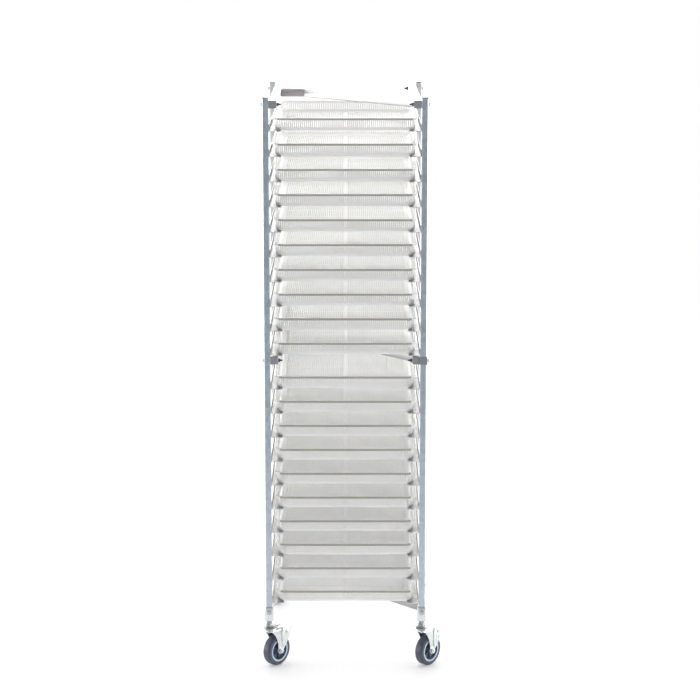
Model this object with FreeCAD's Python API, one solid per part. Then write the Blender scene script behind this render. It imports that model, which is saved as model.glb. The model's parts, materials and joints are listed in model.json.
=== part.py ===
import FreeCAD, Part
import math
import os

# Mobile sheet pan rack. Four square posts stand on stem casters. Each side is a ladder of two
# posts, three square rails and twenty angle runners. Three diagonal braces tie the two sides,
# and twenty tapered plastic trays slide on the runners. Lengths are in millimetres and angles
# in degrees. X points to the rack's right, Y to its back and Z up.

# Frame
FRAME_WIDTH = 518.0  # over the posts, side to side
FRAME_DEPTH = 661.0  # over the posts, front to back
POST = 20.0
POST_TOP = 1865.0
RAIL = 25.0
TUBE_WALL = 1.5
TUBE_CORNER = 2.0
TOP_RAIL_Z = 1831.0  # undersides of the rails
MIDDLE_RAIL_Z = 1016.0
CAP_PLATE = 2.5
CAP_PLUG = 12.0

# Diagonal braces, seen from above: the front face runs between the two side rails
BRACE_LEFT_Y = 220.0
BRACE_RIGHT_Y = -285.0
GUSSET_WIDTH = 77.0
GUSSET_SHEET = 2.0

# Trays
TRAY_COUNT = 20
TRAYS_ABOVE_RAIL = 10
TRAY_PITCH = 79.4
TRAY_BREAK = 109.9  # from the last rim above the middle rails to the first one below
TOP_RIM_Z = 1801.0
TRAY_WIDTH = 457.0
TRAY_DEPTH = 660.0
TRAY_HEIGHT = 40.0
TRAY_TAPER = 3.0  # how far each wall leans in from rim to floor
TRAY_FOOT_R = 14.0  # outside radius between wall and floor
TRAY_WALL = 2.5
TRAY_CORNER = 34.0
LIP = 6.0

# Runners
RUNNER_LEG = 22.0
RUNNER_SHELF = 38.0
RUNNER_SHEET = 1.5
TRAY_GAP = 0.3
RIVET_R = 2.0
RIVET_HEAD_R = 3.8
RIVET_HEAD = 1.4

# Through bolts of the side rails
BOLT_R = 3.0
BOLT_HEAD = 4.0
BOLT_FLATS = 10.0
BOLT_NUT = 5.0
BOLT_TAIL = 7.0
WASHER_R = 6.2
WASHER = 1.2

# Clamp round the right front post
CLAMP_SHEET = 3.0
CLAMP_HEIGHT = 25.0

# Caster sockets
SOCKET = 28.0
SOCKET_BASE_Z = 161.0
SOCKET_TOP_Z = 207.0
SOCKET_FLOOR = 5.0
SOCKET_BOLT_Z = 190.0
SOCKET_BOLT_R = 4.0
SOCKET_BOLT_FLATS = 13.0
SOCKET_BOLT_HEAD = 5.3
SOCKET_BOLT_NUT = 6.5
LOW_BRACE_Z = 180.0  # underside; the low rails stand between the sockets, midway up the brace

# Casters
WHEEL_R = 51.0
TYRE_WIDTH = 32.0
HUB_R = 37.5
HUB_WIDTH = 33.0
HUB_BORE_R = 6.05
AXLE_R = 6.0
TRAIL = 33.0
FORK_INSIDE = 34.0
FORK_SHEET = 3.0
CROWN_Z = 125.0  # underside of the fork's crown
CROWN_FRONT = 20.0
LEG_R = 11.0
LEG_WAIST_FRONT = (16.0, 92.0)  # behind the stem, above the floor
LEG_WAIST_BACK = (62.0, 78.0)
RACE_R = 20.0
RACE = 5.0
RACE_GAP = 0.3
AXLE_FLATS = 16.0
STEM_R = 6.0
STEM_NUT_FLATS = 19.0
STEM_NUT = 11.0
SPACER_R = 8.5
DISC_R = 13.0
DISC = 3.0
FRONT_HEADING = 48.0  # which way each caster trails, from +X towards +Y
REAR_HEADING = 71.5

# Brake levers of the front casters: two side plates, a cam over the tread and a foot pedal
BRAKE_U = 60.0  # the pin's place behind the stem, and above the floor
BRAKE_Z = 112.0
BRAKE_PIN_R = 3.0
BRAKE_CLEARANCE = 0.05
BRAKE_SHEET = 2.5
BRAKE_EYE_R = 6.0
CAM_GAP = 0.5
PLATE_R = 21.0
PLATE_TIP = (48.0, 70.0)
PLATE_TIP_R = 8.0
PLATE_HOLE_R = 7.0
PEDAL_REACH = 22.0
PEDAL_R = 15.0

OUTER_X = FRAME_WIDTH / 2
POST_X = OUTER_X - POST / 2
INNER_X = OUTER_X - POST
OUTER_Y = FRAME_DEPTH / 2
POST_Y = OUTER_Y - POST / 2
POST_FOOT_Z = SOCKET_BASE_Z + SOCKET_FLOOR
RAIL_INNER_X = INNER_X - RAIL
LEVELS = {"top": TOP_RAIL_Z, "middle": MIDDLE_RAIL_Z, "bottom": LOW_BRACE_Z}
BOLTED_LEVELS = ("top", "middle")
SIDES = {"left": -1, "right": 1}
ENDS = {"front": -1, "rear": 1}

X = FreeCAD.Vector(1, 0, 0)
Y = FreeCAD.Vector(0, 1, 0)
Z = FreeCAD.Vector(0, 0, 1)


def vec(x, y, z):
    return FreeCAD.Vector(x, y, z)


def block(x0, x1, y0, y1, z0, z1):
    """Box between two corners, which may be given in either order."""
    low = vec(min(x0, x1), min(y0, y1), min(z0, z1))
    return Part.makeBox(abs(x1 - x0), abs(y1 - y0), abs(z1 - z0), low)


def rod(radius, start, end):
    """Round bar between two points."""
    return Part.makeCylinder(radius, (end - start).Length, start, end - start)


def ring(outer, inner, start, end):
    return rod(outer, start, end).cut(rod(inner, start, end))


def hexagon(flats, start, end, bore=0.0):
    """Six-sided prism between two points, flats wide, with an optional bore."""
    across = end - start
    points = []
    for corner in range(7):
        turn = math.radians(60 * corner)
        points.append(vec(math.cos(turn), math.sin(turn), 0) * (flats / math.sqrt(3)))
    prism = Part.Face(Part.makePolygon(points)).extrude(Z * across.Length)
    if bore:
        prism = prism.cut(rod(bore, vec(0, 0, 0), Z * across.Length))
    prism.Placement = FreeCAD.Placement(start, FreeCAD.Rotation(Z, across))
    return prism


def rounded_outline(width, depth, radius, z=0.0):
    """Closed wire of a rectangle with round corners, centred on the Z axis."""
    edges = []
    ends = []
    for quarter, (sx, sy) in enumerate(((1, 1), (-1, 1), (-1, -1), (1, -1))):
        centre = vec(sx * (width / 2 - radius), sy * (depth / 2 - radius), z)
        arc = Part.makeCircle(radius, centre, Z, 90 * quarter, 90 * quarter + 90)
        edges.append(arc)
        ends.append((arc.Vertexes[0].Point, arc.Vertexes[-1].Point))
    for corner in range(4):
        edges.append(Part.makeLine(ends[corner][1], ends[(corner + 1) % 4][0]))
    return Part.Wire(Part.__sortEdges__(edges))


def rounded_bar(width, depth, radius, height):
    return Part.Face(rounded_outline(width, depth, radius)).extrude(Z * height)


def square_tube(side, length):
    """Square tube with round corners along +Z from the origin."""
    inside = side - 2 * TUBE_WALL
    outer = rounded_bar(side, side, TUBE_CORNER, length)
    return outer.cut(rounded_bar(inside, inside, TUBE_CORNER / 2, length))


def cap(side):
    """Tube end plug: a plate that covers the tube's end, and a plug inside it, along +Z."""
    inside = side - 2 * TUBE_WALL
    plate = rounded_bar(side, side, TUBE_CORNER, CAP_PLATE)
    plug = rounded_bar(inside, inside, TUBE_CORNER / 2, CAP_PLUG)
    return plate.fuse(plug.translated(-Z * CAP_PLUG))


def place(shape, position, direction=Z):
    """Move a shape made along +Z so that it starts at position and runs in direction."""
    moved = shape.copy()
    move = FreeCAD.Placement(position, FreeCAD.Rotation(Z, direction))
    moved.Placement = move.multiply(shape.Placement)
    return moved


def tray_rims():
    """Height of each tray's rim, from the top tray down."""
    heights = []
    for index in range(TRAY_COUNT):
        height = TOP_RIM_Z - index * TRAY_PITCH
        if index >= TRAYS_ABOVE_RAIL:
            height -= TRAY_BREAK - TRAY_PITCH
        heights.append(height)
    return heights


def bolt_holes():
    """Every rail bolt's hole, as one cutting tool."""
    tools = []
    for level in BOLTED_LEVELS:
        height = LEVELS[level] + RAIL / 2
        for side in SIDES.values():
            for end in ENDS.values():
                start = vec(side * (OUTER_X + RAIL), end * POST_Y, height)
                stop = vec(side * (RAIL_INNER_X - RAIL), end * POST_Y, height)
                tools.append(rod(BOLT_R, start, stop))
    return Part.makeCompound(tools)


def socket_bolt_holes():
    tools = []
    for side in SIDES.values():
        for end in ENDS.values():
            axis = vec(side * POST_X, end * POST_Y, SOCKET_BOLT_Z)
            tools.append(rod(SOCKET_BOLT_R, axis, axis + Y * (end * SOCKET)))
    return Part.makeCompound(tools)


def shelf_z(rim):
    """Top of the shelf that carries the tray whose rim is at this height."""
    return rim - TRAY_HEIGHT - TRAY_GAP


def rivet_spots(side):
    """Where each runner's rivets pass through the inner face of that side's posts."""
    spots = []
    for rim in tray_rims():
        for end in ENDS.values():
            height = shelf_z(rim) + RUNNER_LEG / 2
            spots.append(vec(side * INNER_X, end * POST_Y, height))
    return spots


def rivet_holes(side):
    tools = []
    for spot in rivet_spots(side):
        reach = X * (RUNNER_SHEET + TUBE_WALL)
        tools.append(rod(RIVET_R, spot - reach, spot + reach))
    return Part.makeCompound(tools)


def make_post(side, end):
    post = place(square_tube(POST, POST_TOP - CAP_PLATE - POST_FOOT_Z), vec(0, 0, POST_FOOT_Z))
    post.translate(vec(side * POST_X, end * POST_Y, 0))
    return post.cut(bolt_holes()).cut(socket_bolt_holes()).cut(rivet_holes(side))


def make_rail(side, level):
    """Bolted rail inside the posts, or at the bottom one of post tube between the sockets."""
    height = LEVELS[level] + RAIL / 2
    if level in BOLTED_LEVELS:
        length = FRAME_DEPTH - 2 * CAP_PLATE
        start = vec(side * (INNER_X - RAIL / 2), -length / 2, height)
        return place(square_tube(RAIL, length), start, Y).cut(bolt_holes())
    length = 2 * POST_Y - SOCKET
    return place(square_tube(POST, length), vec(side * POST_X, -length / 2, height), Y)


def make_caps():
    caps = []
    for side in SIDES.values():
        for end in ENDS.values():
            top = vec(side * POST_X, end * POST_Y, POST_TOP - CAP_PLATE)
            caps.append(place(cap(POST), top))
            for level in BOLTED_LEVELS:
                x = side * (INNER_X - RAIL / 2)
                mouth = vec(x, end * (OUTER_Y - CAP_PLATE), LEVELS[level] + RAIL / 2)
                caps.append(place(cap(RAIL), mouth, Y * end).cut(bolt_holes()))
    return Part.makeCompound(caps)


def brace_slope(level):
    """Rail face to rail face distance along X, and the front face's run along Y per unit of X."""
    reach = RAIL_INNER_X if level in BOLTED_LEVELS else INNER_X
    return reach, (BRACE_RIGHT_Y - BRACE_LEFT_Y) / (2 * reach)


def brace_plan(level, inset=0.0):
    """Corners of the brace seen from above, with its long faces moved in by inset."""
    reach, slope = brace_slope(level)
    stretch = math.hypot(1, slope)
    front = inset * stretch
    back = (RAIL - inset) * stretch
    return [
        vec(-reach, BRACE_LEFT_Y + front, 0),
        vec(reach, BRACE_RIGHT_Y + front, 0),
        vec(reach, BRACE_RIGHT_Y + back, 0),
        vec(-reach, BRACE_LEFT_Y + back, 0),
    ]


def prism(points, z0, z1):
    closed = [vec(p.x, p.y, z0) for p in points]
    return Part.Face(Part.makePolygon(closed + closed[:1])).extrude(Z * (z1 - z0))


def make_brace(level):
    base = LEVELS[level]
    outer = prism(brace_plan(level), base, base + RAIL)
    inner = prism(brace_plan(level, TUBE_WALL), base + TUBE_WALL, base + RAIL - TUBE_WALL)
    return outer.cut(inner)


def make_gusset(level, side):
    """Triangular box of sheet metal between the brace's face and a side rail."""
    reach, slope = brace_slope(level)
    corner = brace_plan(level)[0] if side < 0 else brace_plan(level)[2]
    square = vec(corner.x, corner.y - side * GUSSET_WIDTH * slope, 0)
    point = vec(corner.x - side * GUSSET_WIDTH, square.y, 0)
    base = LEVELS[level]
    solid = prism([corner, square, point], base, base + RAIL)
    step = vec(-side, -side, 0) * GUSSET_SHEET
    hollow = [spot + step for spot in (corner, square, point)]
    return solid.cut(prism(hollow, base + GUSSET_SHEET, base + RAIL - GUSSET_SHEET))


def make_gussets():
    return Part.makeCompound([make_gusset(level, side) for level in LEVELS for side in (-1, 1)])


def make_runner(side, rim):
    shelf_top = shelf_z(rim)
    low = shelf_top - RUNNER_SHEET
    leg_inner = INNER_X - RUNNER_SHEET
    leg = block(side * INNER_X, side * leg_inner, -OUTER_Y, OUTER_Y, low, shelf_top + RUNNER_LEG)
    shelf_edge = INNER_X - RUNNER_SHELF
    shelf = block(side * INNER_X, side * shelf_edge, -OUTER_Y, OUTER_Y, low, shelf_top)
    return leg.fuse(shelf).removeSplitter().cut(rivet_holes(side))


def make_runners(side):
    return Part.makeCompound([make_runner(side, rim) for rim in tray_rims()])


def make_rivet(spot, side):
    """Blind rivet: domed head in the rack, shank, and set bulb in the post."""
    inward = X * -side
    face = spot + inward * RUNNER_SHEET
    back = spot - inward * TUBE_WALL
    head = Part.makeCone(RIVET_HEAD_R, RIVET_HEAD_R * 0.6, RIVET_HEAD, face, inward)
    bulb = rod(RIVET_R * 1.5, back, back - inward * RIVET_R)
    return head.fuse(rod(RIVET_R, face, back)).fuse(bulb)


def make_rivets():
    rivets = [make_rivet(spot, side) for side in SIDES.values() for spot in rivet_spots(side)]
    return Part.makeCompound(rivets)


def make_rail_bolt(side, end, level):
    """Hexagon bolt from outside with its washers and nut, through post and rail."""
    outside = OUTER_X
    if side > 0 and end < 0 and level == "middle":
        outside += CLAMP_SHEET
    inside = RAIL_INNER_X
    line = vec(0, end * POST_Y, LEVELS[level] + RAIL / 2)

    def at(x):
        return line + X * (side * x)

    seat = outside + WASHER
    washer = ring(WASHER_R, BOLT_R, at(outside), at(seat))
    head = hexagon(BOLT_FLATS, at(seat), at(seat + BOLT_HEAD))
    nut_seat = inside - WASHER
    nut_end = nut_seat - BOLT_NUT
    shank = rod(BOLT_R, at(seat), at(nut_end - BOLT_TAIL))
    inner_washer = ring(WASHER_R, BOLT_R, at(inside), at(nut_seat))
    nut = hexagon(BOLT_FLATS, at(nut_seat), at(nut_end), BOLT_R)
    return [washer, head.fuse(shank), inner_washer, nut]


def make_rail_bolts():
    pieces = []
    for side in SIDES.values():
        for end in ENDS.values():
            for level in BOLTED_LEVELS:
                pieces.extend(make_rail_bolt(side, end, level))
    return Part.makeCompound(pieces)


def make_clamp():
    """Saddle round three faces of the right front post, level with the middle rail."""
    z0 = MIDDLE_RAIL_Z
    z1 = z0 + CLAMP_HEIGHT
    t = CLAMP_SHEET
    front = -OUTER_Y - t
    back = -OUTER_Y + POST + t
    whole = block(INNER_X, OUTER_X + t, front, back, z0, z1)
    return whole.cut(block(INNER_X, OUTER_X, -OUTER_Y, -OUTER_Y + POST, z0, z1)).cut(bolt_holes())


def make_socket(side, end):
    """Square sleeve round the post's foot with a thick floor that the caster's stem goes through."""
    height = SOCKET_TOP_Z - SOCKET_BASE_Z
    sleeve = rounded_bar(SOCKET, SOCKET, TUBE_CORNER * 1.5, height)
    hollow = rounded_bar(POST, POST, TUBE_CORNER, height).translated(Z * SOCKET_FLOOR)
    stem = rod(STEM_R, vec(0, 0, 0), Z * SOCKET_FLOOR)
    socket = sleeve.cut(hollow).cut(stem)
    socket.translate(vec(side * POST_X, end * POST_Y, SOCKET_BASE_Z))
    return socket.cut(socket_bolt_holes())


def make_sockets():
    return Part.makeCompound([make_socket(s, e) for s in SIDES.values() for e in ENDS.values()])


def make_socket_bolt(side, end):
    """Bolt from the rack's end face through socket and post wall, into a nut inside the post."""
    near = vec(side * POST_X, end * (POST_Y + SOCKET / 2), SOCKET_BOLT_Z)
    nut = vec(side * POST_X, end * (OUTER_Y - TUBE_WALL), SOCKET_BOLT_Z)
    out = Y * end
    nut_end = nut - out * SOCKET_BOLT_NUT
    head = hexagon(SOCKET_BOLT_FLATS, near, near + out * SOCKET_BOLT_HEAD)
    shank = rod(SOCKET_BOLT_R, near, nut_end - out * 2)
    return [head.fuse(shank), hexagon(SOCKET_BOLT_FLATS, nut, nut_end, SOCKET_BOLT_R)]


def make_socket_bolts():
    pieces = []
    for side in SIDES.values():
        for end in ENDS.values():
            pieces.extend(make_socket_bolt(side, end))
    return Part.makeCompound(pieces)


def caster_places():
    """Name, stem axis and heading of every caster."""
    places = []
    for end_name, end in ENDS.items():
        heading = FRONT_HEADING if end < 0 else REAR_HEADING
        for side_name, side in SIDES.items():
            places.append((f"{end_name}_{side_name}", vec(side * POST_X, end * POST_Y, 0), heading))
    return places


def wheel_centre(stem, heading):
    turn = math.radians(heading)
    return stem + vec(TRAIL * math.cos(turn), TRAIL * math.sin(turn), WHEEL_R)


def to_caster(shape, stem, heading):
    """Turn a caster piece, made with its stem on Z and its wheel behind it along +X."""
    turned = shape.copy()
    turn = FreeCAD.Placement(stem, FreeCAD.Rotation(Z, heading))
    turned.Placement = turn.multiply(shape.Placement)
    return turned


def spin_outline(points, centre):
    """Solid of revolution about a caster's axle line, from (radius, across) corners."""
    outline = [vec(0, across, radius) for radius, across in points]
    face = Part.Face(Part.makePolygon(outline + outline[:1]))
    return face.revolve(vec(0, 0, 0), Y, 360).translated(centre)


AXLE_CENTRE = vec(TRAIL, 0, WHEEL_R)


def make_tyre():
    half = TYRE_WIDTH / 2
    bead = [(HUB_R, -half + 1), (WHEEL_R, -half + 1), (WHEEL_R, half - 1), (HUB_R, half - 1)]
    tyre = spin_outline(bead, AXLE_CENTRE)
    shoulders = [edge for edge in tyre.Edges if abs(edge.Length - 2 * math.pi * WHEEL_R) < 1]
    return tyre.makeFillet(7.0, shoulders)


def make_hub():
    """Wheel centre: rim, thin web and a boss that runs on the axle."""
    half = HUB_WIDTH / 2
    rim_inner = HUB_R - 6
    rim = half - 1.5
    boss = 11.0
    web = 5.0
    side = [(HUB_BORE_R, half), (boss, half), (boss + 1, web), (rim_inner - 3, web), (rim_inner, rim)]
    side.append((HUB_R, rim))
    other = [(radius, -across) for radius, across in reversed(side)]
    return spin_outline(side + other, AXLE_CENTRE)


def leg_outline():
    """Fork leg in the plane of the wheel: crown edge, curved front and back, round axle eye."""
    top = CROWN_Z + FORK_SHEET
    nose = vec(-CROWN_FRONT * 0.7, 0, top)
    shoulder = vec(BRAKE_U - 6, 0, top)
    heel = vec(BRAKE_U + 8, 0, BRAKE_Z - 8)
    eye_front = AXLE_CENTRE - X * LEG_R
    eye_back = AXLE_CENTRE + X * LEG_R
    front = Part.Arc(nose, vec(LEG_WAIST_FRONT[0], 0, LEG_WAIST_FRONT[1]), eye_front)
    under = Part.Arc(eye_front, AXLE_CENTRE - Z * LEG_R, eye_back)
    back = Part.Arc(eye_back, vec(LEG_WAIST_BACK[0], 0, LEG_WAIST_BACK[1]), heel)
    edges = [front.toShape(), under.toShape(), back.toShape()]
    edges.extend(Part.makePolygon([heel, shoulder, nose]).Edges)
    return Part.Face(Part.Wire(edges))


def make_fork(braked):
    """Pressed fork: crown plate, lower race and two legs, with the axle and its nut."""
    half = FORK_INSIDE / 2
    outer = half + FORK_SHEET
    crown_top = CROWN_Z + FORK_SHEET
    leg = leg_outline().extrude(Y * FORK_SHEET)
    crown = block(-CROWN_FRONT, BRAKE_U - 6, -outer, outer, CROWN_Z, crown_top)
    race = Part.makeCone(RACE_R + 2, RACE_R, RACE, Z * crown_top)
    fork = crown.fuse(race)
    fork = fork.fuse(leg.translated(Y * half)).fuse(leg.translated(-Y * outer))
    fork = fork.cut(rod(STEM_R + RACE_GAP, vec(0, 0, 0), Z * (crown_top + RACE)))
    eye = Y * (outer + 1)
    fork = fork.cut(rod(AXLE_R, AXLE_CENTRE - eye, AXLE_CENTRE + eye))
    pieces = [fork.removeSplitter()]
    if braked:
        pin = vec(BRAKE_U, 0, BRAKE_Z)
        pieces[0] = pieces[0].cut(rod(BRAKE_PIN_R, pin - eye, pin + eye))
        pieces.append(make_brake_pin(pin, outer + 2 * BRAKE_SHEET))
    pieces.extend(make_axle(outer))
    return Part.makeCompound(pieces)


def make_brake_pin(pin, reach):
    """Pin through the fork and the lever, with a head at each end."""
    head_r = BRAKE_PIN_R * 1.8
    shank = rod(BRAKE_PIN_R, pin - Y * reach, pin + Y * reach)
    heads = [rod(head_r, pin + Y * (end * reach), pin + Y * (end * (reach + 2))) for end in (-1, 1)]
    return shank.fuse(heads)


def make_axle(outer):
    """Axle bolt, head at +Y, and its nut."""
    head_seat = AXLE_CENTRE + Y * outer
    nut_seat = AXLE_CENTRE - Y * outer
    head = hexagon(AXLE_FLATS, head_seat, head_seat + Y * 5)
    shank = rod(AXLE_R, nut_seat - Y * 8, head_seat)
    return [head.fuse(shank), hexagon(AXLE_FLATS, nut_seat, nut_seat - Y * 6, AXLE_R)]


def link(centre, radius, tip, tip_radius, thickness):
    """Flat plate in the plane of the wheel: two round ends joined by their common tangents."""
    along = tip - centre
    heading = math.atan2(along.z, along.x)
    spread = math.acos((radius - tip_radius) / along.Length)

    def on_circle(middle, r, turn):
        return middle + vec(r * math.cos(turn), 0, r * math.sin(turn))

    up = heading + spread
    down = heading - spread
    big = [on_circle(centre, radius, turn) for turn in (up, heading + math.pi, down)]
    small = [on_circle(tip, tip_radius, turn) for turn in (down, heading, up)]
    edges = [Part.Arc(*big).toShape(), Part.makeLine(big[2], small[0])]
    edges += [Part.Arc(*small).toShape(), Part.makeLine(small[2], big[0])]
    return Part.Face(Part.Wire(edges)).extrude(Y * thickness)


def make_brake():
    """Brake lever: a tube on the pin, a round cam over the tread, side plates and a pedal."""
    pin = vec(BRAKE_U, 0, BRAKE_Z)
    inside = FORK_INSIDE / 2 - 1
    outside = FORK_INSIDE / 2 + FORK_SHEET + BRAKE_SHEET
    tip = vec(PLATE_TIP[0], 0, PLATE_TIP[1])
    plate = link(pin - X * 2, PLATE_R, tip, PLATE_TIP_R, BRAKE_SHEET)
    hole_at = pin - X * 4 - Z * 17
    plate = plate.cut(rod(PLATE_HOLE_R, hole_at, hole_at + Y * BRAKE_SHEET))
    to_wheel = AXLE_CENTRE - pin
    lobe = to_wheel.Length - WHEEL_R - CAM_GAP - BRAKE_EYE_R
    cam = block(-BRAKE_EYE_R, BRAKE_EYE_R, -inside + 4, inside - 4, 0, lobe)
    cam = cam.fuse(rod(BRAKE_EYE_R, Z * lobe - Y * (inside - 4), Z * lobe + Y * (inside - 4)))
    cam = place(cam, pin, to_wheel)
    bar_u = BRAKE_U + PLATE_R - 6
    bar_z = BRAKE_Z + BRAKE_SHEET
    tail = block(BRAKE_U, bar_u, -inside, inside, BRAKE_Z, bar_z)
    bar = block(bar_u - 4, bar_u + 2, -outside, outside, BRAKE_Z, bar_z)
    toe_at = pin + X * (PLATE_R + PEDAL_REACH - 8)
    arm = block(bar_u, toe_at.x, -PEDAL_R + 4, PEDAL_R - 4, BRAKE_Z, bar_z)
    toe = rod(PEDAL_R, toe_at, toe_at + Z * BRAKE_SHEET)
    eye = rod(BRAKE_EYE_R, pin - Y * inside, pin + Y * inside)
    lever = eye.fuse([cam, tail, bar, arm, toe])
    lever = lever.fuse([plate.translated(Y * (outside - BRAKE_SHEET)), plate.translated(-Y * outside)])
    bore = rod(BRAKE_PIN_R + BRAKE_CLEARANCE, pin - Y * SOCKET, pin + Y * SOCKET)
    return lever.cut(bore).removeSplitter()


def stack_heights():
    """Heights between the stem's pieces, from the race up to the socket."""
    race = CROWN_Z + FORK_SHEET + RACE + RACE_GAP
    disc = race + DISC
    nut = disc + DISC
    spacer = nut + STEM_NUT
    return race, disc, nut, spacer


def make_swivel_race(stem):
    """Upper race disc and the washers that clamp it to the socket."""
    race, disc, nut, spacer = stack_heights()
    tiers = ((RACE_R, race, disc), (DISC_R, disc, nut), (SPACER_R, spacer, SOCKET_BASE_Z - DISC))
    tiers += ((DISC_R, SOCKET_BASE_Z - DISC, SOCKET_BASE_Z),)
    return [ring(radius, STEM_R, stem + Z * low, stem + Z * high) for radius, low, high in tiers]


def make_swivel_races():
    pieces = []
    for _, stem, _ in caster_places():
        pieces.extend(make_swivel_race(stem))
    return Part.makeCompound(pieces)


def make_stems():
    """Threaded stems: a king head under the crown and a shank up into the socket's floor."""
    head_top = CROWN_Z - RACE_GAP
    stems = []
    for _, stem, _ in caster_places():
        head = rod(STEM_R + 4, stem + Z * (head_top - 4), stem + Z * head_top)
        stems.append(head.fuse(rod(STEM_R, stem + Z * head_top, stem + Z * POST_FOOT_Z)))
    return Part.makeCompound(stems)


def make_stem_nuts():
    nut, spacer = stack_heights()[2:]
    nuts = []
    for _, stem, _ in caster_places():
        nuts.append(hexagon(STEM_NUT_FLATS, stem + Z * nut, stem + Z * spacer, STEM_R))
    return Part.makeCompound(nuts)


def basin(inset):
    """Solid of a tray's walls moved in by inset, with a rounded foot, up to the rim."""
    mouth_w = TRAY_WIDTH - 2 * (LIP + inset)
    mouth_d = TRAY_DEPTH - 2 * (LIP + inset)
    mouth_r = TRAY_CORNER - LIP - inset
    foot_r = mouth_r - TRAY_TAPER / 2
    foot_w = mouth_w - 2 * TRAY_TAPER
    foot_d = mouth_d - 2 * TRAY_TAPER
    foot = rounded_outline(foot_w, foot_d, foot_r, inset)
    brim = rounded_outline(mouth_w, mouth_d, mouth_r, TRAY_HEIGHT)
    solid = Part.makeLoft([foot, brim], True, True)
    low = [edge for edge in solid.Edges if edge.BoundBox.ZMax < inset + 0.1]
    return solid.makeFillet(TRAY_FOOT_R - inset, low)


def make_tray():
    """Tray with steep walls, round corners, a flat floor and a square lip, on z = 0."""
    lip = rounded_bar(TRAY_WIDTH, TRAY_DEPTH, TRAY_CORNER, LIP)
    tray = basin(0).fuse(lip.translated(Z * (TRAY_HEIGHT - LIP)))
    return tray.cut(basin(TRAY_WALL))


def build():
    """Every sub-part by name, about the rack's own centre line."""
    parts = {}
    for end_name, end in ENDS.items():
        for side_name, side in SIDES.items():
            parts[f"{end_name}_{side_name}_post"] = make_post(side, end)
    for level in LEVELS:
        for side_name, side in SIDES.items():
            parts[f"{level}_{side_name}_rail"] = make_rail(side, level)
        parts[f"{level}_brace"] = make_brace(level)
    parts["brace_gussets"] = make_gussets()
    parts["tube_end_caps"] = make_caps()
    parts["rail_bolts"] = make_rail_bolts()
    for side_name, side in SIDES.items():
        parts[f"{side_name}_runners"] = make_runners(side)
    parts["runner_rivets"] = make_rivets()
    parts["post_clamp"] = make_clamp()
    parts["caster_sockets"] = make_sockets()
    parts["socket_bolts"] = make_socket_bolts()
    parts["caster_stems"] = make_stems()
    parts["stem_nuts"] = make_stem_nuts()
    parts["swivel_races"] = make_swivel_races()
    for name, stem, heading in caster_places():
        braked = name.startswith("front")
        parts[f"{name}_fork"] = to_caster(make_fork(braked), stem, heading)
        parts[f"{name}_hub"] = to_caster(make_hub(), stem, heading)
        parts[f"{name}_tyre"] = to_caster(make_tyre(), stem, heading)
        if braked:
            parts[f"{name}_brake"] = to_caster(make_brake(), stem, heading)
    tray = make_tray()
    for index, rim in enumerate(tray_rims()):
        parts[f"tray_{index + 1:02d}"] = tray.translated(Z * (rim - TRAY_HEIGHT))
    return parts


def to_origin(parts):
    """Shift that puts the origin at the middle of the whole rack's footprint, on the floor."""
    box = Part.makeCompound(list(parts.values())).optimalBoundingBox(False)
    return vec(-box.Center.x, -box.Center.y, -box.ZMin)


def main():
    parts = build()
    shift = to_origin(parts)
    os.makedirs("parts", exist_ok=True)
    for name, shape in parts.items():
        shape.translated(shift).exportStep(f"parts/{name}.step")
    return parts, shift


main()
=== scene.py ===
import json
import math

import bmesh
import bpy
from mathutils import Matrix, Vector


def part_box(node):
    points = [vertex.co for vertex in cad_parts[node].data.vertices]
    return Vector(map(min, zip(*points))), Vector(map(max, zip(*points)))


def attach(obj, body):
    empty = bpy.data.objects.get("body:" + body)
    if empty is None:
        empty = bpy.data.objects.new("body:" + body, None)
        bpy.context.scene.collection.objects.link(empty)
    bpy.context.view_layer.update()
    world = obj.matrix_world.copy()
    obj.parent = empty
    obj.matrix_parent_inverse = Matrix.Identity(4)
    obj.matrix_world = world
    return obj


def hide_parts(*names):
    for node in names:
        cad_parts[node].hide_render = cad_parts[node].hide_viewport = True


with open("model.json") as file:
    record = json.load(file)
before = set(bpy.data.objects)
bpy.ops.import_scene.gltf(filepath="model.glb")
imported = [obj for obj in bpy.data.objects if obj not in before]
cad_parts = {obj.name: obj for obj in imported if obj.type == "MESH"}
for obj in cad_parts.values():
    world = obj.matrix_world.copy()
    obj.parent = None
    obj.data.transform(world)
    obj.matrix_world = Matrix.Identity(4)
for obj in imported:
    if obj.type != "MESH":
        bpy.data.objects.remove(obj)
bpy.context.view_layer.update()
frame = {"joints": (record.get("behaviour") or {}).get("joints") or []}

# Mobile sheet pan rack: a galvanised frame on four swivel casters, with twenty perforated
# plastic trays on angle runners. Shapes are made in millimetres about the middle of the four
# posts, with X to the rack's right, Y to its back and Z up, and are put in the frame's metres
# when a piece is finished.

X = Vector((1, 0, 0))
Y = Vector((0, 1, 0))
Z = Vector((0, 0, 1))
SIDES = {"left": -1, "right": 1}
ENDS = {"front": -1, "rear": 1}
LEVELS = ("top", "middle", "bottom")
BOLTED_LEVELS = ("top", "middle")

near_post_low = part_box("front_left_post")[0]
far_post_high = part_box("rear_right_post")[1]
MIDDLE = Vector(((near_post_low.x + far_post_high.x) / 2,
                 (near_post_low.y + far_post_high.y) / 2, 0))
TO_FRAME = Matrix.Translation(MIDDLE) @ Matrix.Scale(0.001, 4)

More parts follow.
